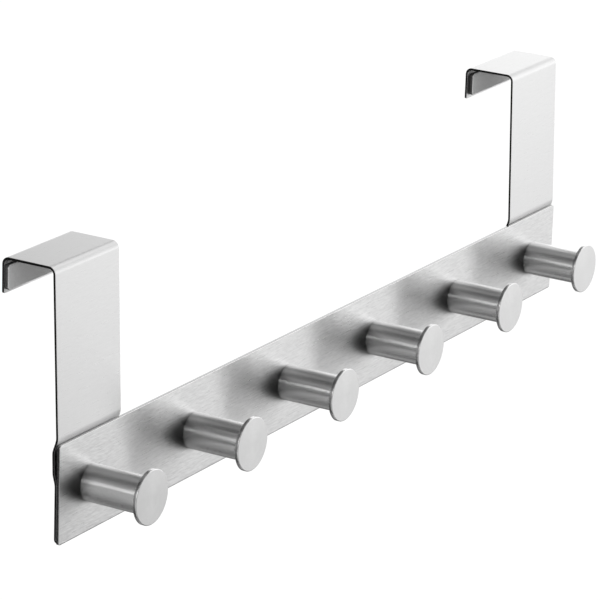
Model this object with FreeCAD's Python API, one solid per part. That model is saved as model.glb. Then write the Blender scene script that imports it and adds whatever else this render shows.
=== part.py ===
"""Over-door rack: a flat steel rail with a row of pegs, hung from a door by two folded strips.

Millimetres. +X runs along the rail, +Y goes from the room through the door, +Z is up.
The origin is on the top front edge of the door, midway between the two brackets, so the
undersides of the folded tops lie at z = 0 and the pegs point along -Y.
"""
import FreeCAD, Part
import math
import os

from FreeCAD import Vector

# Rail
rail_length = 400.0
rail_height = 40.0
rail_thickness = 1.2
rail_corner_radius = 1.2
rail_edge_radius = 0.2        # polished round on the front edges
rail_proud = 0.7              # rail's front beyond the front of the legs, at the rail's top edge

# Folded strips that go over the door
strip_width = 42.0
strip_thickness = 1.0
door_gap = 22.0               # between the inner faces of the leg and the lip
drop = 108.5                  # from the top edge of the door to the lower edge of the rail
lip_drop = 13.5               # from the top edge of the door to the end of the lip
fold_radius = 2.0             # inside radius of the two folds at the top
leg_lean = 2.0                # degrees, the leg comes forward as it goes down
strip_end_radius = 2.5        # corners of the lower end, behind the rail
lip_end_radius = 0.8          # corners of the lip
joggle_radius = 6.0           # inside radius of the gentle bends near the rail's top edge
joggle_above = 2.0            # upper bend, above the rail's top edge
joggle_below = 3.0            # lower bend, below the rail's top edge
joggle_gap = 1.3              # space between rail and strip at the lower bend
joggle_run = 9.0              # the strip runs on beside the rail before it closes up to its seat
joggle_run_gap = 1.05         # space between them at the end of that run
seat_margin = 1.0             # flat seat beyond the screw head

# Foam pads on the inner faces of the lips
pad_width = 38.0
pad_thickness = 1.8
pad_end_margin = 1.3          # lip left bare below the pad
pad_fold_margin = 0.2         # between the pad and the start of the fold
pad_corner_radius = 1.5
pad_edge_radius = 0.6
left_pad_inset = 0.3          # from the strip's left edge
right_pad_inset = 2.2

# Pegs
peg_count = 6
peg_below_middle = 0.5        # axis below the middle of the rail
peg_projection = 28.0         # from the rail's front to the face of the cap
tube_radius = 7.5
tube_wall = 1.0
tube_edge = 0.25              # chamfer at both ends of the tube
cap_thickness = 1.5
cap_overhang = 3.5            # cap's radius beyond the tube's
cap_front_edge = 0.35         # chamfer round the face
cap_back_edge = 0.1
spigot_length = 2.0           # step on the back of the cap, inside the tube
fit_clearance = 0.05          # radial, between the tube's bore and what is pushed into it

# Screws and the plugs that they turn into
thread_radius = 2.0
thread_clearance = 0.05
screw_length = 8.0
screw_tip = 0.4
head_radius = 3.5
head_height = 1.7
head_rim = 0.5                # straight part of the head, under its dome
recess_span = 3.8
recess_width = 0.9
recess_depth = 1.0
hole_clearance = 0.2          # radial, round the screws in the rail and the strips
plug_spare = 1.2              # plug beyond the tip of the longest-reaching screw
plug_edge = 0.3

# Places worked out from the sizes above
rail_bottom = -drop
rail_top = rail_bottom + rail_height
lean_slope = math.tan(math.radians(leg_lean))
leg_depth = strip_thickness / math.cos(math.radians(leg_lean))
rail_front = rail_top * lean_slope - leg_depth - rail_proud
rail_back = rail_front + rail_thickness
seat_back = rail_back + strip_thickness
peg_z = rail_bottom + rail_height / 2 - peg_below_middle
peg_first_x = (strip_width - rail_length) / 2
peg_spacing = (rail_length - strip_width) / (peg_count - 1)
peg_xs = [peg_first_x + i * peg_spacing for i in range(peg_count)]
left_strip_x = -rail_length / 2
right_strip_x = rail_length / 2 - strip_width
tube_length = peg_projection - cap_thickness
tube_bore = tube_radius - tube_wall
plug_length = screw_length - rail_thickness + plug_spare

ALONG_X = Vector(1, 0, 0)
ALONG_Y = Vector(0, 1, 0)
TINY = 1e-6


def in_section(y, z):
    """A point of a section that is drawn in the plane x = 0."""
    return Vector(0, y, z)


def unit(start, end):
    """The direction from one point to another."""
    direction = end.sub(start)
    direction.normalize()
    return direction


def sideways(direction):
    """A direction of the section plane turned a quarter turn from +Y towards +Z."""
    return Vector(0, -direction.z, direction.y)


def turn_at(before, after):
    """The signed turn between two directions, positive from +Y towards +Z."""
    cross = before.y * after.z - before.z * after.y
    return math.atan2(cross, before.dot(after))


def bent_line(corners, radii):
    """Edges of an open line of straight runs, with an arc of its own radius at each inner corner."""
    edges = []
    start = corners[0]
    for i, radius in enumerate(radii, start=1):
        before = unit(corners[i - 1], corners[i])
        after = unit(corners[i], corners[i + 1])
        turn = turn_at(before, after)
        setback = radius * math.tan(abs(turn) / 2)
        arc_start = corners[i] - before * setback
        arc_end = corners[i] + after * setback
        inward = after - before
        inward.normalize()
        centre_distance = radius / math.cos(turn / 2)
        arc_middle = corners[i] + inward * (centre_distance - radius)
        edges.append(Part.LineSegment(start, arc_start).toShape())
        edges.append(Part.Arc(arc_start, arc_middle, arc_end).toShape())
        start = arc_end
    edges.append(Part.LineSegment(start, corners[-1]).toShape())
    return edges


def strip_face(corners, inside_radii, thickness):
    """Section of a bent strip.

    The corners follow the face towards the door, from the foot up, and the metal lies to their left.
    """
    directions = [unit(a, b) for a, b in zip(corners, corners[1:])]
    turns = [turn_at(a, b) for a, b in zip(directions, directions[1:])]
    far_corners = [corners[0] + sideways(directions[0]) * thickness]
    for corner, before, turn in zip(corners[1:-1], directions, turns):
        mitre = sideways(before) - before * math.tan(turn / 2)
        far_corners.append(corner + mitre * thickness)
    far_corners.append(corners[-1] + sideways(directions[-1]) * thickness)
    near_radii = []
    far_radii = []
    for turn, radius in zip(turns, inside_radii):
        near_radii.append(radius + thickness if turn > 0 else radius)
        far_radii.append(radius if turn > 0 else radius + thickness)
    edges = bent_line(corners, near_radii)
    edges += bent_line(far_corners, far_radii)
    edges.append(Part.LineSegment(corners[0], far_corners[0]).toShape())
    edges.append(Part.LineSegment(corners[-1], far_corners[-1]).toShape())
    return Part.Face(Part.Wire(Part.__sortEdges__(edges)))


def end_corners(solid, z):
    """The short edges through the strip's thickness at the height of one of its ends."""
    found = []
    for edge in solid.Edges:
        box = edge.BoundBox
        at_end = abs(box.ZMin - z) < TINY and abs(box.ZMax - z) < TINY
        if at_end and box.XLength < TINY:
            found.append(edge)
    return found


def hole_along_y(radius, x, z, y_start, y_end):
    """A round cutter through a plate."""
    return Part.makeCylinder(radius, y_end - y_start, Vector(x, y_start, z), ALONG_Y)


def turned(profile, x, y, z):
    """A solid turned about an axis along Y; each profile point is a radius and a distance towards -Y."""
    points = [Vector(x + radius, y - reach, z) for radius, reach in profile]
    face = Part.Face(Part.makePolygon(points + points[:1]))
    return face.revolve(Vector(x, y, z), ALONG_Y, 360)


def rounded_plate(width, height, thickness, radius):
    """A plate with rounded corners, its lower left back corner at the origin, growing towards -Y."""
    outline = Part.makePlane(width, height, Vector(0, 0, 0), Vector(0, -1, 0), ALONG_X)
    plate = outline.extrude(Vector(0, -thickness, 0))
    uprights = [e for e in plate.Edges if e.BoundBox.XLength < TINY and e.BoundBox.ZLength < TINY]
    return plate.makeFillet(radius, uprights)


def round_front_edges(plate, radius):
    """Round the edges of the face that looks towards -Y."""
    front = plate.BoundBox.YMin
    edges = [e for e in plate.Edges if e.BoundBox.YMax < front + TINY]
    return plate.makeFillet(radius, edges)


def make_rail():
    """The flat rail with a clearance hole behind each peg."""
    rail = rounded_plate(rail_length, rail_height, rail_thickness, rail_corner_radius)
    rail = round_front_edges(rail, rail_edge_radius)
    rail.translate(Vector(-rail_length / 2, rail_back, rail_bottom))
    for x in peg_xs:
        rail = rail.cut(hole_along_y(thread_radius + hole_clearance, x, peg_z, rail_front - 1, rail_back + 1))
    return rail


def make_bracket(left_x, screw_x):
    """One strip: lip, top, leaning leg, joggle round the rail's top edge and flat seat behind the rail."""
    upper_bend_z = rail_top + joggle_above
    lower_bend_z = rail_top - joggle_below
    seat_top_z = peg_z + head_radius + seat_margin
    door_side = [
        in_section(seat_back, rail_bottom),
        in_section(seat_back, seat_top_z),
        in_section(seat_back + joggle_run_gap, lower_bend_z - joggle_run),
        in_section(seat_back + joggle_gap, lower_bend_z),
        in_section(upper_bend_z * lean_slope, upper_bend_z),
        in_section(0, 0),
        in_section(door_gap, 0),
        in_section(door_gap, -lip_drop),
    ]
    bends = [joggle_radius] * 4 + [fold_radius] * 2
    section = strip_face(door_side, bends, strip_thickness)
    strip = section.extrude(ALONG_X * strip_width)
    strip = strip.makeFillet(strip_end_radius, end_corners(strip, rail_bottom))
    strip = strip.makeFillet(lip_end_radius, end_corners(strip, -lip_drop))
    strip.translate(ALONG_X * left_x)
    return strip.cut(hole_along_y(thread_radius + hole_clearance, screw_x, peg_z, rail_back - 1, seat_back + 1))


def make_pad(left_x):
    """The foam pad that keeps the lip off the back of the door."""
    bottom = pad_end_margin - lip_drop
    top = -fold_radius - pad_fold_margin
    pad = rounded_plate(pad_width, top - bottom, pad_thickness, pad_corner_radius)
    pad = round_front_edges(pad, pad_edge_radius)
    pad.translate(Vector(left_x, door_gap, bottom))
    return pad


def make_tube(x):
    """The peg's tube, standing on the front of the rail."""
    profile = [
        (tube_bore, 0),
        (tube_radius - tube_edge, 0),
        (tube_radius, tube_edge),
        (tube_radius, tube_length - tube_edge),
        (tube_radius - tube_edge, tube_length),
        (tube_bore, tube_length),
    ]
    return turned(profile, x, rail_front, peg_z)


def make_cap(x):
    """The disc that closes the peg, with a spigot that centres it in the tube."""
    cap_radius = tube_radius + cap_overhang
    spigot_radius = tube_bore - fit_clearance
    profile = [
        (0, -spigot_length),
        (spigot_radius, -spigot_length),
        (spigot_radius, 0),
        (cap_radius - cap_back_edge, 0),
        (cap_radius, cap_back_edge),
        (cap_radius, cap_thickness - cap_front_edge),
        (cap_radius - cap_front_edge, cap_thickness),
        (0, cap_thickness),
    ]
    return turned(profile, x, rail_front - tube_length, peg_z)


def make_plug(x):
    """The tapped plug pushed into the tube's foot, which the screw turns into."""
    outer = tube_bore - fit_clearance
    bore = thread_radius + thread_clearance
    profile = [
        (bore, 0),
        (outer - plug_edge, 0),
        (outer, plug_edge),
        (outer, plug_length - plug_edge),
        (outer - plug_edge, plug_length),
        (bore, plug_length),
    ]
    return turned(profile, x, rail_front, peg_z)


def cross_recess(x, y):
    """The cross-shaped driver recess, cut into a head whose top is at y."""
    bar = Part.makeBox(recess_span, recess_depth, recess_width)
    bar.translate(Vector(-recess_span / 2, -recess_depth, -recess_width / 2))
    upright = bar.copy()
    upright.rotate(Vector(0, 0, 0), ALONG_Y, 90)
    cross = bar.fuse(upright)
    cross.translate(Vector(x, y, peg_z))
    return cross


def make_screw(x, seat_y):
    """A low domed screw that enters from behind; the head's underside lies at seat_y."""
    rise = head_height - head_rim
    dome_radius = (head_radius ** 2 + rise ** 2) / (2 * rise)
    crown_y = seat_y + head_height
    dome_centre_y = crown_y - dome_radius
    half_angle = math.asin(head_radius / dome_radius) / 2
    tip_y = seat_y - screw_length
    corners = [
        Vector(0, tip_y, 0),
        Vector(thread_radius - screw_tip, tip_y, 0),
        Vector(thread_radius, tip_y + screw_tip, 0),
        Vector(thread_radius, seat_y, 0),
        Vector(head_radius, seat_y, 0),
        Vector(head_radius, seat_y + head_rim, 0),
    ]
    crown = Vector(0, crown_y, 0)
    on_dome = Vector(dome_radius * math.sin(half_angle), dome_centre_y + dome_radius * math.cos(half_angle), 0)
    edges = [Part.LineSegment(a, b).toShape() for a, b in zip(corners, corners[1:])]
    edges.append(Part.Arc(corners[-1], on_dome, crown).toShape())
    edges.append(Part.LineSegment(crown, corners[0]).toShape())
    screw = Part.Face(Part.Wire(edges)).revolve(Vector(0, 0, 0), ALONG_Y, 360)
    screw.translate(Vector(x, 0, peg_z))
    return screw.cut(cross_recess(x, crown_y))


def make_screws():
    """One screw behind each peg; the outer two also hold the strips."""
    screws = []
    for x in peg_xs:
        through_strip = x in (peg_xs[0], peg_xs[-1])
        screws.append(make_screw(x, seat_back if through_strip else rail_back))
    return Part.makeCompound(screws)


def make_pieces():
    """Every piece by its name."""
    pieces = {
        "back_rail": make_rail(),
        "left_bracket": make_bracket(left_strip_x, peg_xs[0]),
        "right_bracket": make_bracket(right_strip_x, peg_xs[-1]),
        "left_lip_pad": make_pad(left_strip_x + left_pad_inset),
        "right_lip_pad": make_pad(right_strip_x + right_pad_inset),
        "peg_screws": make_screws(),
    }
    for number, x in enumerate(peg_xs, start=1):
        pieces[f"peg_{number}_tube"] = make_tube(x)
        pieces[f"peg_{number}_cap"] = make_cap(x)
        pieces[f"peg_{number}_plug"] = make_plug(x)
    return pieces


os.makedirs("parts", exist_ok=True)
for name, shape in make_pieces().items():
    shape.exportStep(f"parts/{name}.step")
    print(name, "valid" if shape.isValid() else "INVALID", len(shape.Solids), round(shape.Volume, 2))
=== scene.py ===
"""Looks of an over-door rack: brushed steel rail and strips, turned pegs and foam pads.

Metres, in the part's frame: +X along the rail, +Y from the room through the door, +Z up.
"""
import logging
import math
from dataclasses import dataclass, field
from enum import Enum, IntEnum
from typing import Callable, Optional, Sequence, Union

import bmesh
import bpy
from mathutils import Matrix, Vector, noise


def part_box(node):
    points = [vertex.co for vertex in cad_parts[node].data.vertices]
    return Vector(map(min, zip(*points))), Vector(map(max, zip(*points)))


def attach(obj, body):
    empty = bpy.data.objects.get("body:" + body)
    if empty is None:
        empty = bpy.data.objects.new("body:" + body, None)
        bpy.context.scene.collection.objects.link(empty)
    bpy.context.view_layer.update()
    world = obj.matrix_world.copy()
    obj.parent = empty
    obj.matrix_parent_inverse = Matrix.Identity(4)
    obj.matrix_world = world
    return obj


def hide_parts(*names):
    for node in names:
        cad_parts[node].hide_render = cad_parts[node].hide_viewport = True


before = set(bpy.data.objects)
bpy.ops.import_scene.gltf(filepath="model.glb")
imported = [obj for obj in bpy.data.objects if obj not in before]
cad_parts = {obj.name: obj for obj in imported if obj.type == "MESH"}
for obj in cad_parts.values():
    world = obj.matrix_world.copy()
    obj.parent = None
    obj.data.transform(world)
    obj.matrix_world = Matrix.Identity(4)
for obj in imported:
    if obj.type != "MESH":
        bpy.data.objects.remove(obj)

log = logging.getLogger("rack")
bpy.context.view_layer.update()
BODY = "root"
MM = 0.001
WELD = 0.0005 * MM      # corners nearer than this are one
FLAT_WITHIN = 0.5       # degrees by which the faces of one flat area may turn
NOISE_MIDDLE = 0.5      # of a noise that runs from 0 to 1
ALL_ROUND = 360         # degrees
WHITE = (1, 1, 1, 1)

Number = Union[int, float]
Operand = Union["Value", int, float]
Colour = tuple[float, float, float]
Tint = Union[tuple[float, float, float, float], bpy.types.NodeSocket]
Span = tuple[float, float]
Corner = tuple[float, float]
Profile = list[Corner]


class LocalAxes(Enum):
    """How a piece's own axes lie in the part's frame, given as the columns of a turn.

    The sheen of brushed metal is spread about a piece's own Z axis, so that axis follows the grain
    of flat stock and the axis of turned pieces.
    """

    GRAIN_ALONG_RAIL = ((0, 1, 0), (0, 0, 1), (1, 0, 0))
    AXIS_OUT_OF_RAIL = ((1, 0, 0), (0, 0, 1), (0, -1, 0))

    def at(self, origin: Vector) -> Matrix:
        """The move from the piece's own axes to the frame's, with the piece's origin at a point."""
        return Matrix.Translation(origin) @ Matrix(self.value).transposed().to_4x4()


class Side(Enum):
    """The two ends of the rail, as the photograph shows them."""

    LEFT = "left"
    RIGHT = "right"


class PegPart(Enum):
    """The pieces of a peg, as their nodes are named."""

    TUBE = "tube"
    CAP = "cap"
    PLUG = "plug"


class StockSurface(IntEnum):
    """The surfaces of flat stock, in the order of its materials."""

    FACE = 0
    CUT = 1
    RIM = 2


class FoamSurface(IntEnum):
    """The surfaces of a foam pad, in the order of its materials."""

    CUT = 0
    SKIN = 1


@dataclass(frozen=True)
class Value:
    """One number that varies over a surface; arithmetic on it adds Math nodes."""

    graph: "Graph"
    socket: bpy.types.NodeSocket

    def _math(self, operation: str, *others: Operand) -> "Value":
        """The result of one Math node on this value and the others."""
        return Value(self.graph, self.graph.maths(operation, self, *others))

    def __add__(self, other: Operand) -> "Value":
        """This value plus another."""
        return self._math("ADD", other)

    __radd__ = __add__

    def __mul__(self, other: Operand) -> "Value":
        """This value times another."""
        return self._math("MULTIPLY", other)

    __rmul__ = __mul__

    def __sub__(self, other: Operand) -> "Value":
        """This value minus another."""
        return self._math("SUBTRACT", other)

    def __rsub__(self, other: Number) -> "Value":
        """A number minus this value."""
        return Value(self.graph, self.graph.maths("SUBTRACT", other, self))

    def __pow__(self, power: Number) -> "Value":
        """This value raised to a power."""
        return self._math("POWER", power)

    def __abs__(self) -> "Value":
        """This value without its sign."""
        return self._math("ABSOLUTE")

    def most(self, other: Operand) -> "Value":
        """The larger of this value and another."""
        return self._math("MAXIMUM", other)

    def turn_from(self, other: "Value") -> "Value":
        """The angle, in radians, whose tangent is this value over another."""
        return self._math("ARCTAN2", other)

    def wrapped(self, pitch: Number) -> "Value":
        """What is left of this value after whole pitches, from 0 to one pitch."""
        return self._math("WRAP", pitch, 0.0)

    def step(self, low: Number, high: Number) -> "Value":
        """A smooth rise from 0 to 1.

        Args:
            low: Where it is still 0.
            high: Where it is 1.

        Returns:
            The risen value.
        """
        node = self.graph.add(
            "ShaderNodeMapRange",
            settings={"interpolation_type": "SMOOTHSTEP"},
            inputs={"Value": self, "From Min": low, "From Max": high},
        )
        return Value(self.graph, node.outputs["Result"])


class Graph:
    """The node tree of one material or of the world."""

    def __init__(self, tree: bpy.types.NodeTree) -> None:
        """Start from an empty tree."""
        self.tree = tree
        tree.nodes.clear()

    def add(
        self, kind: str, settings: Optional[dict] = None, inputs: Optional[dict] = None
    ) -> bpy.types.Node:
        """Add one node.

        Args:
            kind: The node's type.
            settings: Properties of the node, which are set first.
            inputs: Socket name or number to a value, a socket, a Value or a node's first output.

        Returns:
            The node.
        """
        node = self.tree.nodes.new(kind)
        for name, value in (settings or {}).items():
            setattr(node, name, value)
        for name, value in (inputs or {}).items():
            target = node.inputs[name]
            source = value.socket if isinstance(value, Value) else value
            if isinstance(source, bpy.types.Node):
                source = source.outputs[0]
            if isinstance(source, bpy.types.NodeSocket):
                self.tree.links.new(source, target)
            else:
                target.default_value = source
        return node

    def maths(self, operation: str, *terms: Operand) -> bpy.types.NodeSocket:
        """The output of one Math node."""
        node = self.add("ShaderNodeMath", {"operation": operation}, dict(enumerate(terms)))
        return node.outputs[0]

    def own_place(self) -> bpy.types.NodeSocket:
        """The point in the piece's own axes, in metres."""
        return self.add("ShaderNodeTexCoord").outputs["Object"]

    def parts_of(self, vector: bpy.types.NodeSocket) -> tuple[Value, Value, Value]:
        """The three numbers of a vector."""
        split = self.add("ShaderNodeSeparateXYZ", inputs={0: vector})
        return tuple(Value(self, out) for out in split.outputs)

    def point(self, x: Operand, y: Operand, z: Operand) -> bpy.types.Node:
        """A vector from three numbers."""
        return self.add("ShaderNodeCombineXYZ", inputs={0: x, 1: y, 2: z})

    def noise(
        self, vector: Union[bpy.types.Node, bpy.types.NodeSocket], detail: float = 2.0
    ) -> Value:
        """Smooth noise from 0 to 1 with a grain of about one unit of the vector.

        Args:
            vector: Where the noise is read.
            detail: How many finer layers lie over the first.

        Returns:
            The noise.
        """
        node = self.add(
            "ShaderNodeTexNoise",
            settings={"noise_dimensions": "3D"},
            inputs={"Vector": vector, "Scale": 1.0, "Detail": detail},
        )
        return Value(self, node.outputs[0])

    def mix(self, share: Value, low: Tint, high: Tint) -> bpy.types.NodeSocket:
        """A colour between two others, each a colour with alpha or a socket."""
        return self.add("ShaderNodeMix", {"data_type": "RGBA"}, {0: share, 6: low, 7: high}).outputs[2]

    def between(self, share: Value, low: Colour, high: Colour) -> bpy.types.NodeSocket:
        """A colour between two plain ones."""
        return self.mix(share, (*low, 1), (*high, 1))

    def bump(self, height: Value, depth: float) -> bpy.types.Node:
        """A bumped normal; depth is the height, in metres, of a value of 1."""
        return self.add("ShaderNodeBump", inputs={"Strength": 1.0, "Distance": depth, "Height": height})


@dataclass(frozen=True)
class Finish:
    """What every surface finish of the rack has."""

    name: str

    def material(self) -> bpy.types.Material:
        """The finish as a material, made once.

        Returns:
            The material, which pieces of the same finish share.
        """
        found = bpy.data.materials.get(self.name)
        if found:
            return found
        material = bpy.data.materials.new(self.name)
        material.use_nodes = True
        graph = Graph(material.node_tree)
        shader = self.shader(graph)
        graph.add("ShaderNodeOutputMaterial", inputs={"Surface": shader})
        return material

    def shader(self, graph: Graph) -> bpy.types.Node:
        """The shader node of the finish."""
        raise NotImplementedError


@dataclass(frozen=True)
class BrushedSteel(Finish):
    """Flat stainless stock brushed along the rail, for pieces with GRAIN_ALONG_RAIL axes."""

    dark: Colour = (0.70, 0.70, 0.70)
    light: Colour = (0.73, 0.73, 0.73)
    tone_span: Span = (0.3, 0.7)   # of the marks, over which dark turns to light
    roughness: float = 0.28
    spread: float = 0.03           # of the roughness, from streak to streak
    stretch: float = 1.0           # of the sheen, across the grain
    streak_length: float = 9 * MM
    streak_width: float = 0.25 * MM
    streak_depth: float = 0.003 * MM
    stroke_length: float = 3.0 * MM
    stroke_width: float = 0.5 * MM
    stroke_depth: float = 0.02 * MM

    def shader(self, graph: Graph) -> bpy.types.Node:
        """Fine streaks along the grain, with short shallow strokes of the belt under them.

        Args:
            graph: The material's graph.

        Returns:
            The shader.
        """
        streaks = self.marks(graph, self.streak_width, self.streak_length)
        strokes = self.marks(graph, self.stroke_width, self.stroke_length)
        return graph.add("ShaderNodeBsdfPrincipled", inputs={
            "Base Color": self.colour(graph, (streaks + strokes) * 0.5),
            "Metallic": 1.0,
            "Roughness": (streaks - NOISE_MIDDLE) * self.spread + self.roughness,
            "Anisotropic": self.stretch,
            "Normal": graph.bump(streaks * self.streak_depth + strokes * self.stroke_depth, 1.0),
        })

    def colour(self, graph: Graph, marks: Value) -> bpy.types.NodeSocket:
        """The metal's colour, a little lighter in some marks."""
        return graph.between(marks.step(*self.tone_span), self.dark, self.light)

    def marks(self, graph: Graph, width: float, length: float) -> Value:
        """Marks of the belt, longer along the grain than across it."""
        through, upward, along = graph.parts_of(graph.own_place())
        return graph.noise(graph.point(through * (1 / width), upward * (1 / width), along * (1 / length)))


@dataclass(frozen=True)
class PostedSteel(BrushedSteel):
    """Brushed stock with a row of posts, with painted shade beside each post and along the lower edge.

    Both are painted on the front face only. The dark patch beside a post lies on one side of it and
    stands for the post's dark reflection and the shade at its foot; the dark line along the lower
    edge stands for that edge's dark reflection. The middle of the stock lies midway between two posts.
    """

    dark: Colour = (0.65, 0.65, 0.65)
    light: Colour = (0.79, 0.79, 0.79)
    stroke_length: float = 3.5 * MM
    stroke_width: float = 0.8 * MM
    stroke_depth: float = 0.08 * MM
    back_from: float = 0.2 * MM    # behind the middle of the thickness: the back keeps its clean colour, without painted shade, from here
    # Painted shade beside each post: the post's dark reflection and the shade at its foot.
    post_shade_paint: Colour = (0.11, 0.11, 0.11)
    patch_length: float = 25 * MM  # from a post's axis towards -X
    patch_start: float = 8 * MM    # from a post's axis towards +X
    patch_height: float = 9 * MM   # above and below the patch's own line
    patch_drop: float = 1.0 * MM   # of that line where it starts, below the post's axis
    patch_rise: float = 0.25       # of that line, for each unit it lies away from the post
    patch_core: float = 0.45       # share of the patch's reach that is fully dark
    # Painted dark line along the lower edge: that edge's dark reflection.
    edge_shade_paint: Colour = (0.14, 0.14, 0.14)
    line_height: float = 0.6 * MM  # of the painted dark line along the lower edge
    line_core: float = 0.25        # share of the line's height that is fully dark
    pitch: float = field(kw_only=True)       # of the posts
    row_height: float = field(kw_only=True)  # of the posts' axes, above the middle of the stock
    low_edge: float = field(kw_only=True)    # height of the lower edge, from the same middle

    @classmethod
    def for_row(cls, name: str, stock: str, post: str, next_post: str) -> "PostedSteel":
        """The finish for a piece of stock, with its places taken from the frame.

        Args:
            name: The finish's name.
            stock: The node of the stock.
            post: The node of one post.
            next_post: The node of the post beside it.

        Returns:
            The finish.
        """
        low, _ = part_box(stock)
        middle = middle_of(stock)
        foot = middle_of(post)
        return cls(
            name, pitch=abs(middle_of(next_post).x - foot.x), row_height=foot.z - middle.z,
            low_edge=low.z - middle.z)

    def colour(self, graph: Graph, marks: Value) -> bpy.types.NodeSocket:
        """The brushed colour, with the painted shade beside the posts and the painted dark line laid over
        it.

        Args:
            graph: The material's graph.
            marks: The marks of the belt.

        Returns:
            The colour.
        """
        clean = super().colour(graph, marks)
        behind, upward, along = graph.parts_of(graph.own_place())
        at_back = behind.step(0.0, self.back_from)
        # Painted shade: a dark patch on one side of each post, for its dark reflection and the shade at its
        # foot.
        before = self.pitch / 2 - along.wrapped(self.pitch)
        above = upward - before.most(0.0) * self.patch_rise - (self.row_height - self.patch_drop)
        sideways = (before * (1 / self.patch_length)).most(before * (-1 / self.patch_start))
        upwards = above * (1 / self.patch_height)
        reach = (sideways * sideways + upwards * upwards) ** 0.5
        off_post_shade = reach.step(self.patch_core, 1.0).most(at_back)
        # Painted dark line along the lower edge, for that edge's dark reflection.
        off_edge_shade = (upward - self.low_edge).step(self.line_core * self.line_height, self.line_height)
        post_shaded = graph.mix(off_post_shade, (*self.post_shade_paint, 1), clean)
        return graph.mix(off_edge_shade.most(at_back), (*self.edge_shade_paint, 1), post_shaded)


@dataclass(frozen=True)
class CutEdge(Finish):
    """The cut edge of the stock, finely scored through its thickness."""

    dark: Colour = (0.36, 0.36, 0.36)
    light: Colour = (0.46, 0.46, 0.46)
    roughness: float = 0.16
    spread: float = 0.06           # of the roughness, from score to score
    score: float = 0.35 * MM
    drawn_out: float = 0.2         # fineness of the scores from face to face, against that along the edge
    depth: float = 0.004 * MM

    def shader(self, graph: Graph) -> bpy.types.Node:
        """Short marks that run from face to face.

        Args:
            graph: The material's graph.

        Returns:
            The shader.
        """
        through, upward, along = graph.parts_of(graph.own_place())
        marks = graph.noise(graph.point(
            through * (self.drawn_out / self.score), upward * (1 / self.score), along * (1 / self.score)))
        return graph.add("ShaderNodeBsdfPrincipled", inputs={
            "Base Color": graph.between(marks, self.dark, self.light),
            "Metallic": 1.0,
            "Roughness": marks * self.spread + self.roughness,
            "Normal": graph.bump(marks, self.depth),
        })


@dataclass(frozen=True)
class TurnedSteel(Finish):
    """Stainless stock turned on a lathe, for pieces with AXIS_OUT_OF_RAIL axes."""

    dark: Colour = (0.74, 0.74, 0.74)
    light: Colour = (0.84, 0.84, 0.84)
    tone_span: Span = (0.25, 0.75)  # of the marks, over which dark turns to light
    roughness: float = 0.24
    spread: float = 0.05            # of the roughness, from ring to ring
    stretch: float = 0.35           # of the sheen, across the rings
    sheen_turn: float = 0.25        # of a full turn, by which the sheen is laid round
    groove: float = 0.25 * MM
    depth: float = 0.003 * MM
    wear: float = 0.12              # fineness of the worn patches, against that of the grooves
    ring_share: float = 0.75        # of the rings in the marks; the rest is wear

    def shader(self, graph: Graph) -> bpy.types.Node:
        """Fine marks in a satin that spreads its sheen across the tool's rings.

        Args:
            graph: The material's graph.

        Returns:
            The shader.
        """
        marks = self.marks(graph)
        return graph.add("ShaderNodeBsdfPrincipled", inputs={
            "Base Color": graph.between(marks.step(*self.tone_span), self.dark, self.light),
            "Metallic": 1.0,
            "Roughness": (marks - NOISE_MIDDLE) * self.spread + self.roughness,
            "Anisotropic": self.stretch,
            "Anisotropic Rotation": self.sheen_turn,
            "Normal": graph.bump(marks, self.depth),
        })

    def marks(self, graph: Graph) -> Value:
        """Rings about the axis, on the rim and on the flat face alike.

        Args:
            graph: The material's graph.

        Returns:
            The rings with some wear over them, from 0 to 1.
        """
        x, y, along = graph.parts_of(graph.own_place())
        radius = (x * x + y * y) ** 0.5
        rings = graph.noise(graph.point(radius * (1 / self.groove), along * (1 / self.groove), 0.0))
        scale = self.wear / self.groove
        worn = graph.noise(graph.point(x * scale, y * scale, along * scale))
        return rings * self.ring_share + worn * (1 - self.ring_share)


@dataclass(frozen=True)
class PolishedTube(TurnedSteel):
    """Tube polished while it turned, with faint drawing marks left along it."""

    dark: Colour = (0.79, 0.79, 0.79)
    light: Colour = (0.84, 0.84, 0.84)
    roughness: float = 0.25
    spread: float = 0.03
    stretch: float = 1.0
    depth: float = 0.0012 * MM
    line_width: float = 0.7 * MM
    line_length: float = 14 * MM

    def marks(self, graph: Graph) -> Value:
        """Lines along the tube.

        Args:
            graph: The material's graph.

        Returns:
            The lines, from 0 to 1.
        """
        x, y, along = graph.parts_of(graph.own_place())
        across, lengthwise = 1 / self.line_width, 1 / self.line_length
        return graph.noise(graph.point(x * across, y * across, along * lengthwise))


@dataclass(frozen=True)
class PlainSteel(Finish):
    """Bright small hardware, with a faint uneven grain."""

    dark: Colour = (0.50, 0.50, 0.50)
    light: Colour = (0.62, 0.62, 0.62)
    tone_span: Span = (0.3, 0.7)   # of the patches, over which dark turns to light
    roughness: float = 0.28
    spread: float = 0.12           # of the roughness, from patch to patch
    grain: float = 0.6 * MM
    detail: float = 4.0            # finer layers in the patches
    depth: float = 0.004 * MM

    def shader(self, graph: Graph) -> bpy.types.Node:
        """An even satin with small patches.

        Args:
            graph: The material's graph.

        Returns:
            The shader.
        """
        scaled = (part * (1 / self.grain) for part in graph.parts_of(graph.own_place()))
        patches = graph.noise(graph.point(*scaled), self.detail)
        return graph.add("ShaderNodeBsdfPrincipled", inputs={
            "Base Color": graph.between(patches.step(*self.tone_span), self.dark, self.light),
            "Metallic": 1.0,
            "Roughness": patches * self.spread + self.roughness,
            "Normal": graph.bump(patches, self.depth),
        })


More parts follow.
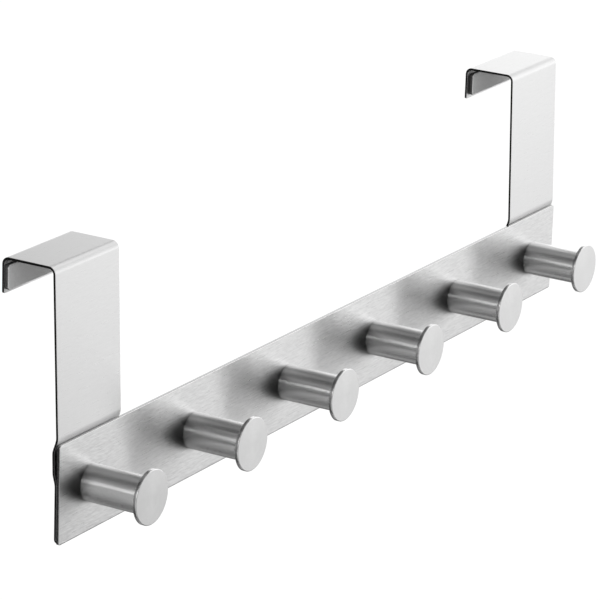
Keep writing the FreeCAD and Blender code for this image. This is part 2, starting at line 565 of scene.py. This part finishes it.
@dataclass(frozen=True)
class Foam(Finish):
    """Closed-cell foam: matt grey skin with small pores."""

    dark: Colour = (0.42, 0.42, 0.42)
    light: Colour = (0.66, 0.66, 0.66)
    pore: float = 0.35 * MM
    pit_span: Span = (0.15, 0.55)  # distance from a pore's middle, in pores, over which its pit ends
    pit_depth: float = 0.03 * MM
    pit_share: float = 0.6         # of the pits in the tone; the rest is a soft cloud
    cloud_detail: float = 3.0      # finer layers in the cloud
    polish: float = 0.15           # by which the palest skin is less rough than the pits
    gloss: float = 0.3             # strength of the skin's mirror-like part

    def shader(self, graph: Graph) -> bpy.types.Node:
        """Pores as dark pits in a paler skin.

        Args:
            graph: The material's graph.

        Returns:
            The shader.
        """
        scaled = graph.add(
            "ShaderNodeVectorMath", {"operation": "SCALE"}, {0: graph.own_place(), "Scale": 1 / self.pore})
        cells = graph.add("ShaderNodeTexVoronoi", {"feature": "SMOOTH_F1"}, {"Vector": scaled, "Scale": 1.0})
        pits = Value(graph, cells.outputs["Distance"]).step(*self.pit_span)
        cloud = graph.noise(scaled, self.cloud_detail)
        tone = pits * self.pit_share + cloud * (1 - self.pit_share)
        return graph.add("ShaderNodeBsdfPrincipled", inputs={
            "Base Color": graph.between(tone, self.dark, self.light),
            "Roughness": 1 - tone * self.polish,
            "Specular IOR Level": self.gloss,
            "Normal": graph.bump(pits, self.pit_depth),
        })


def middle_of(node: str) -> Vector:
    """The middle of a CAD node's box."""
    low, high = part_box(node)
    return (low + high) / 2


def joined_copy(node: str) -> bmesh.types.BMesh:
    """The node's shape with shared corners joined.

    Args:
        node: The CAD node.

    Returns:
        The shape, in the part's frame.
    """
    shape = bmesh.new()
    shape.from_mesh(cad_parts[node].data)
    bmesh.ops.remove_doubles(shape, verts=shape.verts, dist=WELD)
    return shape


def clean_copy(node: str) -> bmesh.types.BMesh:
    """The node's shape with shared corners joined and flat areas made whole.

    Args:
        node: The CAD node.

    Returns:
        The shape, in the part's frame.
    """
    shape = joined_copy(node)
    bmesh.ops.dissolve_limit(
        shape, angle_limit=math.radians(FLAT_WITHIN), use_dissolve_boundaries=False,
        verts=shape.verts, edges=shape.edges)
    return shape


def soften(shape: bmesh.types.BMesh, width: float, sharper_than: float = 50.0) -> None:
    """Break the sharp edges of a shape by a small rounded bevel.

    Args:
        shape: The shape to change.
        width: The bevel's width.
        sharper_than: Edges that turn by more than this many degrees are broken.
    """
    limit = math.radians(sharper_than)
    sharp = [edge for edge in shape.edges if edge.is_manifold and edge.calc_face_angle() > limit]
    bmesh.ops.bevel(
        shape, geom=sharp, offset=width, offset_type="OFFSET", segments=2, profile=0.5,
        affect="EDGES", clamp_overlap=True, harden_normals=False)


def make_piece(shape: bmesh.types.BMesh, name: str, move: Matrix) -> bpy.types.Object:
    """Make a piece of a shape that is given in the piece's own axes.

    Args:
        shape: The shape, which is freed.
        name: The piece's name.
        move: The move from the piece's own axes to the part's frame.

    Returns:
        The piece, in the scene.
    """
    mesh = bpy.data.meshes.new(name)
    shape.to_mesh(mesh)
    shape.free()
    piece = bpy.data.objects.new(name, mesh)
    bpy.context.scene.collection.objects.link(piece)
    piece.matrix_world = move
    return piece


def place(shape: bmesh.types.BMesh, name: str, axes: LocalAxes, origin: Vector) -> bpy.types.Object:
    """Turn a shape that is in the part's frame into a piece with its own axes.

    Args:
        shape: The shape, which is freed.
        name: The piece's name.
        axes: How the piece's own axes lie.
        origin: Where its own origin lies.

    Returns:
        The piece, lying where the shape lay.
    """
    move = axes.at(origin)
    shape.transform(move.inverted())
    return make_piece(shape, name, move)


def shade_smooth(piece: bpy.types.Object, sharper_than: float = 30.0) -> None:
    """Shade a piece smoothly, with its sharp edges kept crisp.

    Args:
        piece: The piece.
        sharper_than: Edges that turn by more than this many degrees stay crisp.
    """
    piece.data.shade_smooth()
    piece.data.set_sharp_from_angle(angle=math.radians(sharper_than))
    weighted = piece.modifiers.new("even_faces", "WEIGHTED_NORMAL")
    weighted.keep_sharp = True


def stand_for(piece: bpy.types.Object, node: str) -> None:
    """Let a piece stand for a CAD node and ride on the rack's body.

    Args:
        piece: The piece.
        node: The node that it replaces.
    """
    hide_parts(node)
    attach(piece, BODY)


@dataclass
class SheetPiece:
    """A piece of flat stock: the rail or one of the folded strips."""

    node: str
    slot: str
    face: Finish
    edge: Finish
    break_width: float = 0.12 * MM

    def build(self) -> bpy.types.Object:
        """Make the piece from its CAD node, with its edges broken and dressed.

        Returns:
            The piece, in place of its node.
        """
        shape = clean_copy(self.node)
        soften(shape, self.break_width)
        piece = place(shape, self.node + "_steel", LocalAxes.GRAIN_ALONG_RAIL, middle_of(self.node))
        self.dress(piece)
        shade_smooth(piece)
        stand_for(piece, self.node)
        return piece

    def dress(self, piece: bpy.types.Object) -> None:
        """Give the cut edges of the stock their own finish.

        Args:
            piece: The piece to dress.
        """
        piece.data.materials.append(self.face.material())
        piece.data.materials.append(self.edge.material())
        for polygon in piece.data.polygons:
            is_cut = self.is_cut(piece, polygon)
            polygon.material_index = StockSurface.CUT if is_cut else StockSurface.FACE

    def is_cut(self, piece: bpy.types.Object, polygon: bpy.types.MeshPolygon) -> bool:
        """Whether a face lies on the cut edge of the stock."""
        raise NotImplementedError


@dataclass
class Rail(SheetPiece):
    """The flat rail, cut all round."""

    node: str = "back_rail"
    slot: str = "rail_steel"
    # The face carries painted shade beside the posts and a painted dark line along the lower edge.
    face: Finish = field(default_factory=lambda: PostedSteel.for_row(
        "rail_brushed_painted_shade", stock="back_rail", post="peg_1_tube", next_post="peg_2_tube"))
    edge: Finish = field(default_factory=lambda: CutEdge("rail_cut"))
    rim: Finish = field(default_factory=lambda: CutEdge(
        "rail_rim", dark=(0.74, 0.74, 0.74), light=(0.80, 0.80, 0.80), roughness=0.12))
    cut_below: float = 0.35        # share of a face's normal through the stock, under which it is cut
    flat_above: float = 0.995      # the same share, over which it is flat

    def dress(self, piece: bpy.types.Object) -> None:
        """Add the polished round between the front and the cut edge.

        Args:
            piece: The rail.
        """
        super().dress(piece)
        piece.data.materials.append(self.rim.material())
        for polygon in piece.data.polygons:
            if -self.flat_above < polygon.normal.x < -self.cut_below:
                polygon.material_index = StockSurface.RIM

    def is_cut(self, piece: bpy.types.Object, polygon: bpy.types.MeshPolygon) -> bool:
        """Whether a face looks sideways out of the stock."""
        return abs(polygon.normal.x) < self.cut_below


@dataclass
class Strip(SheetPiece):
    """One folded strip, cut along its two sides and at its two ends."""

    node: str = "left_bracket"
    slot: str = "strip_steel"
    face: Finish = field(default_factory=lambda: BrushedSteel("strip_brushed"))
    # The cut edges are a little darker steel; their near-black is painted shade that the strip's cut sides
    # show.
    edge: Finish = field(default_factory=lambda: CutEdge(
        "strip_cut_painted_shade", dark=(0.10, 0.10, 0.10), light=(0.18, 0.18, 0.18)))
    square_above: float = 0.7      # share of a face's normal in a direction, over which it looks that way
    lip_depth: float = 1.1 * MM    # from the strip's rearmost point, within which the lip lies
    lip_end: float = -13.3 * MM    # height under which a face belongs to the lip's end
    foot_end: float = 0.2 * MM     # above the strip's lowest point, the same for its foot

    def is_cut(self, piece: bpy.types.Object, polygon: bpy.types.MeshPolygon) -> bool:
        """Whether a face lies on a side of the strip or on one of its ends.

        Args:
            piece: The strip.
            polygon: The face.

        Returns:
            True for a cut face.
        """
        low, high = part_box(self.node)
        centre = piece.matrix_world @ polygon.center
        looks_sideways = abs(polygon.normal.z) > self.square_above
        looks_down = polygon.normal.y < -self.square_above
        on_lip_end = centre.y > high.y - self.lip_depth and centre.z < self.lip_end
        on_foot_end = centre.z < low.z + self.foot_end
        return looks_sideways or (looks_down and (on_lip_end or on_foot_end))


@dataclass
class Peg:
    """One peg: tube, cap and the plug in its foot."""

    number: int
    segments: int = 144            # steps round the axis
    tube_edge: float = 0.25 * MM
    cap_front_edge: float = 0.35 * MM
    cap_back_edge: float = 0.10 * MM
    spigot_radius: float = 6.45 * MM
    spigot_length: float = 2.0 * MM
    bore: float = 6.5 * MM         # radius of the tube inside
    tube_finish: Finish = field(default_factory=lambda: PolishedTube("tube_polished"))
    cap_finish: Finish = field(default_factory=lambda: TurnedSteel("cap_turned"))
    plug_finish: Finish = field(default_factory=lambda: PlainSteel("plug_plain"))

    def build(self) -> list[bpy.types.Object]:
        """Turn the tube and the cap, and dress the plug.

        Returns:
            The three pieces.
        """
        tube = self.turn(PegPart.TUBE, self.tube_profile, "tube_steel", self.tube_finish)
        cap = self.turn(PegPart.CAP, self.cap_profile, "cap_steel", self.cap_finish)
        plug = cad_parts[self.node(PegPart.PLUG)]
        plug.data.materials[0] = self.plug_finish.material()
        return [tube, cap, plug]

    def node(self, part: PegPart) -> str:
        """The name of a part's CAD node."""
        return f"peg_{self.number}_{part.value}"

    def turn(
        self, part: PegPart, profile: Callable[[float, float], Profile], slot: str, finish: Finish
    ) -> bpy.types.Object:
        """Turn one piece from its profile.

        Args:
            part: Which piece.
            profile: Gives the closed profile from the piece's outer radius and its length.
            slot: Not used.
            finish: The piece's finish.

        Returns:
            The piece, in place of its node.
        """
        node = self.node(part)
        low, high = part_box(node)
        foot = Vector(((low.x + high.x) / 2, high.y, (low.z + high.z) / 2))
        shape = lathe(profile((high.z - low.z) / 2, high.y - low.y), self.segments)
        piece = make_piece(shape, node + "_steel", LocalAxes.AXIS_OUT_OF_RAIL.at(foot))
        piece.data.materials.append(finish.material())
        shade_smooth(piece)
        stand_for(piece, node)
        return piece

    def tube_profile(self, radius: float, length: float) -> Profile:
        """The outline of the tube's wall.

        Args:
            radius: The tube's outer radius.
            length: The tube's length.

        Returns:
            Radius and height of each corner.
        """
        edge = self.tube_edge
        return [
            (self.bore, 0), *rounded((radius - edge, 0), (radius, 0), (radius, edge)),
            *rounded((radius, length - edge), (radius, length), (radius - edge, length)),
            (self.bore, length)]

    def cap_profile(self, radius: float, length: float) -> Profile:
        """The outline of the cap, with its spigot.

        Args:
            radius: The cap's outer radius.
            length: The cap's length, with the spigot.

        Returns:
            Radius and height of each corner.
        """
        back, front = self.cap_back_edge, self.cap_front_edge
        seat = self.spigot_length
        return [
            (0, 0), (self.spigot_radius, 0), (self.spigot_radius, seat),
            *rounded((radius - back, seat), (radius, seat), (radius, seat + back)),
            *rounded((radius, length - front), (radius, length), (radius - front, length)),
            (0, length)]


def rounded(start: Corner, corner: Corner, end: Corner, steps: int = 4) -> Profile:
    """Round off a corner of a profile.

    Args:
        start: Where the rounding starts.
        corner: The sharp corner.
        end: Where the rounding ends.
        steps: How many straight runs it has.

    Returns:
        The points from start to end, pulled towards the corner.
    """
    points = []
    for i in range(steps + 1):
        t = i / steps
        a, b, c = (1 - t) ** 2, 2 * t * (1 - t), t ** 2
        points.append((a * start[0] + b * corner[0] + c * end[0], a * start[1] + b * corner[1] + c * end[1]))
    return points


def lathe(profile: Profile, segments: int) -> bmesh.types.BMesh:
    """Turn a closed profile about Z.

    Args:
        profile: Radius and height of each corner, in order; a radius of 0 lies on the axis.
        segments: Steps round the axis.

    Returns:
        The solid.
    """
    shape = bmesh.new()
    rings = []
    for radius, height in profile:
        if radius == 0:
            rings.append([shape.verts.new((0, 0, height))] * segments)
            continue
        turns = (2 * math.pi * i / segments for i in range(segments))
        rings.append([shape.verts.new((radius * math.cos(a), radius * math.sin(a), height)) for a in turns])
    for lower, upper in zip(rings, rings[1:] + rings[:1]):
        if lower[0] is lower[1] and upper[0] is upper[1]:
            continue
        for i in range(segments):
            j = (i + 1) % segments
            corners = list(dict.fromkeys((lower[i], lower[j], upper[j], upper[i])))
            shape.faces.new(corners)
    bmesh.ops.recalc_face_normals(shape, faces=shape.faces)
    return shape


@dataclass
class LipPad:
    """A foam pad stuck on the inner face of a lip."""

    node: str
    voxel: float = 0.3 * MM
    dent: float = 0.12 * MM        # of the uneven skin, inwards
    dent_width: float = 4 * MM
    dented_above: float = 0.5      # share of a point's normal towards the door, over which it is dented
    skin_above: float = 0.6        # share of a face's normal towards the door, over which it is skin
    skin: Finish = field(default_factory=lambda: Foam("pad_skin"))
    # Near-black sides: painted shade that falls on the pad's sides.
    cut: Finish = field(default_factory=lambda: Foam(
        "pad_sides_painted_shade", dark=(0.02, 0.02, 0.02), light=(0.07, 0.07, 0.07), pit_depth=0.06 * MM))

    def build(self) -> bpy.types.Object:
        """Make the pad from its CAD node, with an even mesh and a slightly uneven skin.

        Returns:
            The pad, in place of its node.
        """
        piece = place(
            joined_copy(self.node), self.node + "_foam", LocalAxes.GRAIN_ALONG_RAIL, middle_of(self.node))
        self.remesh(piece)
        self.press(piece)
        self.dress(piece)
        stand_for(piece, self.node)
        return piece

    def remesh(self, piece: bpy.types.Object) -> None:
        """Give the pad small even faces.

        Args:
            piece: The pad.
        """
        even = piece.modifiers.new("even_mesh", "REMESH")
        even.mode = "VOXEL"
        even.voxel_size = self.voxel
        seen = piece.evaluated_get(bpy.context.evaluated_depsgraph_get())
        mesh = bpy.data.meshes.new_from_object(seen)
        piece.modifiers.clear()
        piece.data = mesh

    def press(self, piece: bpy.types.Object) -> None:
        """Dent the skin a little, so that it isn't as flat as the steel.

        Args:
            piece: The pad.
        """
        for vertex in piece.data.vertices:
            if vertex.normal.x < -self.dented_above:
                share = noise.noise(vertex.co / self.dent_width) * 0.5 + 0.5
                vertex.co.x += self.dent * share

    def dress(self, piece: bpy.types.Object) -> None:
        """Pale skin on the face towards the door, and near-black painted shade on the cut sides.

        Args:
            piece: The pad.
        """
        piece.data.materials.append(self.cut.material())
        piece.data.materials.append(self.skin.material())
        for polygon in piece.data.polygons:
            is_skin = polygon.normal.x < -self.skin_above
            polygon.material_index = FoamSurface.SKIN if is_skin else FoamSurface.CUT
        piece.data.shade_smooth()


@dataclass
class Screws:
    """The screws behind the pegs, which keep their CAD shape."""

    node: str = "peg_screws"
    finish: Finish = field(default_factory=lambda: PlainSteel("screw_plain"))

    def build(self) -> bpy.types.Object:
        """Dress the screws.

        Returns:
            Their CAD node.
        """
        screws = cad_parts[self.node]
        screws.data.materials[0] = self.finish.material()
        return screws


@dataclass
class Rack:
    """The whole over-door rack."""

    peg_count: int = 6

    def build(self) -> list[bpy.types.Object]:
        """Build every sub-assembly in order.

        Returns:
            Its pieces.
        """
        pieces = [Rail().build()]
        for side in Side:
            pieces.append(Strip(node=f"{side.value}_bracket").build())
            pieces.append(LipPad(node=f"{side.value}_lip_pad").build())
        for number in range(1, self.peg_count + 1):
            pieces.extend(Peg(number).build())
        pieces.append(Screws().build())
        return pieces


@dataclass
class PhotoCamera:
    """The photograph's camera, as fitted to the rail, the pegs and the strips."""

    image_width: float = 600.0        # pixels of the photograph's frame
    focal_length: float = 3678.44     # in the same pixels
    yaw: float = -59.4                # degrees, from +Y towards -X
    pitch: float = 17.94              # degrees, looking down
    roll: float = 1.98                # degrees
    distance: float = 1.511           # from the target
    target: tuple[float, float, float] = (-0.02763, -0.00409, -0.05573)
    sensor: float = 36.0              # the sensor's width, in millimetres

    def build(self) -> None:
        """Make the camera and look through it."""
        yaw, pitch, roll = (math.radians(a) for a in (self.yaw, self.pitch, self.roll))
        ahead = Vector((
            -math.sin(yaw) * math.cos(pitch), math.cos(yaw) * math.cos(pitch), -math.sin(pitch)))
        level = ahead.cross(Vector((0, 0, 1))).normalized()
        upright = level.cross(ahead)
        right = level * math.cos(roll) + upright * math.sin(roll)
        up = upright * math.cos(roll) - level * math.sin(roll)
        data = bpy.data.cameras.new("photo_camera")
        data.sensor_width = self.sensor
        data.lens = self.focal_length / self.image_width * self.sensor
        camera = bpy.data.objects.new("photo_camera", data)
        turn = Matrix((right, up, -ahead)).transposed().to_4x4()
        camera.matrix_world = Matrix.Translation(Vector(self.target) - ahead * self.distance) @ turn
        bpy.context.scene.collection.objects.link(camera)
        bpy.context.scene.camera = camera


@dataclass(frozen=True)
class Patch:
    """A part of the tent with its own brightness, given as it is seen from the rack."""

    name: str
    level: float                  # brightness, where white paper in full light is 1
    azimuth: float                # degrees from +X towards +Y
    elevation: float              # degrees above the rack
    half_width: float             # degrees; over 180 runs all round
    half_height: float
    side_fade: float              # degrees over which it fades into what lies beside it
    end_fade: float               # the same above and below it

    def share(self, x: Value, y: Value, elevation: Value) -> Value:
        """How far each direction lies inside the patch, from 0 to 1.

        Args:
            x: The direction's part along +X.
            y: Its part along +Y.
            elevation: Its angle above the rack, in radians.

        Returns:
            The share.
        """
        cosine, sine = math.cos(math.radians(self.azimuth)), math.sin(math.radians(self.azimuth))
        sideways = abs((y * cosine - x * sine).turn_from(x * cosine + y * sine))
        upward = abs(elevation - math.radians(self.elevation))
        return (self.within(sideways, self.half_width, self.side_fade)
                * self.within(upward, self.half_height, self.end_fade))

    @staticmethod
    def within(angle: Value, half: float, fade: float) -> Value:
        """1 where an angle is inside a half width, fading to 0 over the soft edge."""
        return 1 - angle.step(math.radians(half - fade / 2), math.radians(half + fade / 2))


@dataclass
class Tent:
    """A round white tent about the rack, with dark and bright patches that only the metal shows."""

    centre: Vector
    white: float
    patches: Sequence[Patch]
    radius: float = 1.3
    segments: int = 64

    def build(self) -> None:
        """Pitch the tent, where no camera sees it and it casts no shadow."""
        bpy.ops.mesh.primitive_uv_sphere_add(
            radius=self.radius, segments=self.segments, ring_count=self.segments // 2, location=self.centre)
        tent = bpy.context.object
        tent.name = "tent"
        tent.data.materials.append(self.cloth())
        tent.visible_camera = False
        tent.visible_diffuse = False
        tent.visible_shadow = False

    def cloth(self) -> bpy.types.Material:
        """Cloth that glows by its patches, where a later patch lies over an earlier one.

        Returns:
            The cloth's material.
        """
        material = bpy.data.materials.new("tent_cloth")
        material.use_nodes = True
        graph = Graph(material.node_tree)
        x, y, z = graph.parts_of(graph.own_place())
        elevation = z.turn_from((x * x + y * y) ** 0.5)
        level: Operand = self.white
        for patch in self.patches:
            inside = patch.share(x, y, elevation)
            level = level * (1 - inside) + patch.level * inside
        glow = graph.add("ShaderNodeEmission", inputs={"Color": WHITE, "Strength": level})
        graph.add("ShaderNodeOutputMaterial", inputs={"Surface": glow})
        return material


@dataclass
class Studio:
    """Pale floor, white surroundings and a tent of soft light."""

    centre: Vector = field(default_factory=lambda: Vector((0, 0, -0.055)))
    floor_drop: float = 1.4        # below the centre
    floor_size: float = 16.0
    floor_colour: float = 0.9
    floor_glow: float = 0.14       # lifts the floor to white where the camera sees it
    white: float = 1.0
    patches: Sequence[Patch] = (
        Patch("floor_shade", level=0.17, azimuth=0, elevation=-90,
              half_width=ALL_ROUND, half_height=62.5, side_fade=5, end_fade=25),
        Patch("ceiling_shade", level=0.12, azimuth=0, elevation=90,
              half_width=ALL_ROUND, half_height=62, side_fade=5, end_fade=23),
        Patch("floor_opening", level=0.87, azimuth=0, elevation=-90,
              half_width=ALL_ROUND, half_height=16, side_fade=5, end_fade=10),
        Patch("ceiling_opening", level=0.58, azimuth=0, elevation=90,
              half_width=ALL_ROUND, half_height=15.5, side_fade=5, end_fade=11.5),
        Patch("left_shade", level=0.02, azimuth=213.5, elevation=-6.5,
              half_width=88.5, half_height=67, side_fade=39, end_fade=41),
        Patch("front_fill", level=0.6, azimuth=272, elevation=0,
              half_width=26, half_height=45, side_fade=20, end_fade=30),
        Patch("left_strip", level=1.75, azimuth=175.3, elevation=-12.5,
              half_width=10.6, half_height=67.5, side_fade=22.3, end_fade=45),
        Patch("left_lamp", level=2.65, azimuth=177.2, elevation=18.1,
              half_width=14.7, half_height=7.7, side_fade=10.8, end_fade=7.9),
        Patch("right_window", level=1.39, azimuth=4, elevation=-1.2,
              half_width=39.7, half_height=27.4, side_fade=27, end_fade=19.5),
        Patch("upper_window", level=1.23, azimuth=-8.7, elevation=51,
              half_width=28.5, half_height=19, side_fade=20, end_fade=23),
        Patch("sill_shade", level=0.33, azimuth=-8, elevation=-27.5,
              half_width=24, half_height=12.2, side_fade=26.5, end_fade=40.5),
        Patch("right_lamp", level=1.64, azimuth=-39, elevation=0,
              half_width=12.8, half_height=9.8, side_fade=17.2, end_fade=15.6),
    )

    def build(self) -> None:
        """Set the stage, the world and the colour handling."""
        self.build_world()
        self.build_floor()
        Tent(self.centre, self.white, self.patches).build()
        bpy.context.scene.view_settings.view_transform = "Standard"
        log.info("studio with %d patches of light and shade", len(self.patches))

    def build_world(self) -> None:
        """Even white light all round, which is also the background."""
        world = bpy.data.worlds.new("studio")
        bpy.context.scene.world = world
        world.use_nodes = True
        graph = Graph(world.node_tree)
        background = graph.add("ShaderNodeBackground", inputs={"Color": WHITE, "Strength": 1.0})
        graph.add("ShaderNodeOutputWorld", inputs={"Surface": background})

    def build_floor(self) -> None:
        """A wide pale floor under the rack."""
        bpy.ops.mesh.primitive_plane_add(
            size=self.floor_size, location=(0, 0, self.centre.z - self.floor_drop))
        floor = bpy.context.object
        floor.name = "floor"
        floor.data.materials.append(self.floor_paint())

    def floor_paint(self) -> bpy.types.Material:
        """Matt pale paint, lifted to white for rays that come from the camera, a mirror or glass.

        Returns:
            The floor's material.
        """
        material = bpy.data.materials.new("floor_pale")
        material.use_nodes = True
        graph = Graph(material.node_tree)
        rays = graph.add("ShaderNodeLightPath")
        camera, glossy, through = (
            Value(graph, rays.outputs[f"Is {kind} Ray"]) for kind in ("Camera", "Glossy", "Transmission"))
        seen = camera.most(glossy).most(through)
        paint = graph.add("ShaderNodeBsdfDiffuse", inputs={"Color": (self.floor_colour,) * 3 + (1,)})
        glow = graph.add("ShaderNodeEmission", inputs={"Color": WHITE, "Strength": seen * self.floor_glow})
        both = graph.add("ShaderNodeAddShader", inputs={0: paint, 1: glow})
        graph.add("ShaderNodeOutputMaterial", inputs={"Surface": both})
        return material


def main() -> None:
    """Build the rack, report its pieces, and build the camera and the studio."""
    logging.basicConfig(level=logging.INFO, format="%(message)s")
    for piece in Rack().build():
        log.info("%s, %d faces", piece.name, len(piece.data.polygons))
    PhotoCamera().build()
    Studio().build()


if __name__ == "__main__":
    main()
